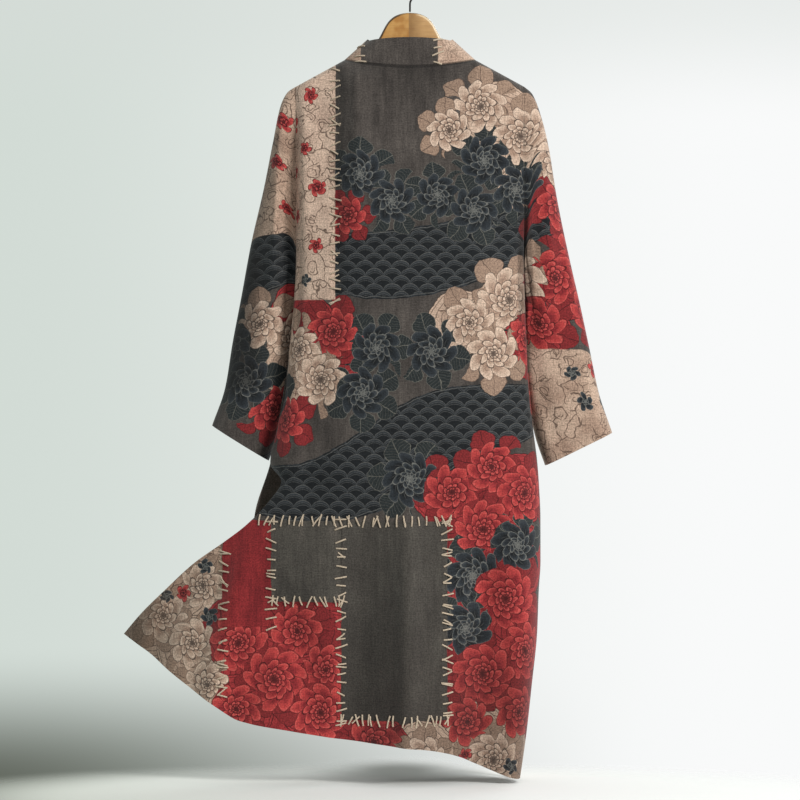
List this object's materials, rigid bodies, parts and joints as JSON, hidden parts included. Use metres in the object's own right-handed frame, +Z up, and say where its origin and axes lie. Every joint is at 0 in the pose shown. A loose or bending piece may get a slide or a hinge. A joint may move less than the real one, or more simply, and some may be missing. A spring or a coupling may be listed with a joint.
{
  "type": "kimono on a hanger",
  "caption": "Long open kimono robe of printed linen on a wooden hanger, with a standing neck band, wide sleeves, side vents and the left corner of its hem blown out sideways.",
  "frame": {"origin": "inside the top of the hanger's hook, where the rail holds it", "axes": "+Z up along the robe's length, the robe's back faces -Y and +X is towards its right sleeve"},
  "size_m": [0.835, 0.2212, 1.3706],
  "materials": {
    "printed_linen": "washed slub linen with a charcoal, beige, red and black print",
    "beech_wood": "clear lacquered, honey coloured",
    "steel_wire": "dark plated wire"
  },
  "bodies": {
    "root": {"back": "printed_linen", "front_left": "printed_linen", "front_right": "printed_linen", "neck_band": "printed_linen", "sleeve_left": "printed_linen", "sleeve_right": "printed_linen", "hanger_wood": "beech_wood", "hanger_hook": "steel_wire"}
  },
  "joints": []
}
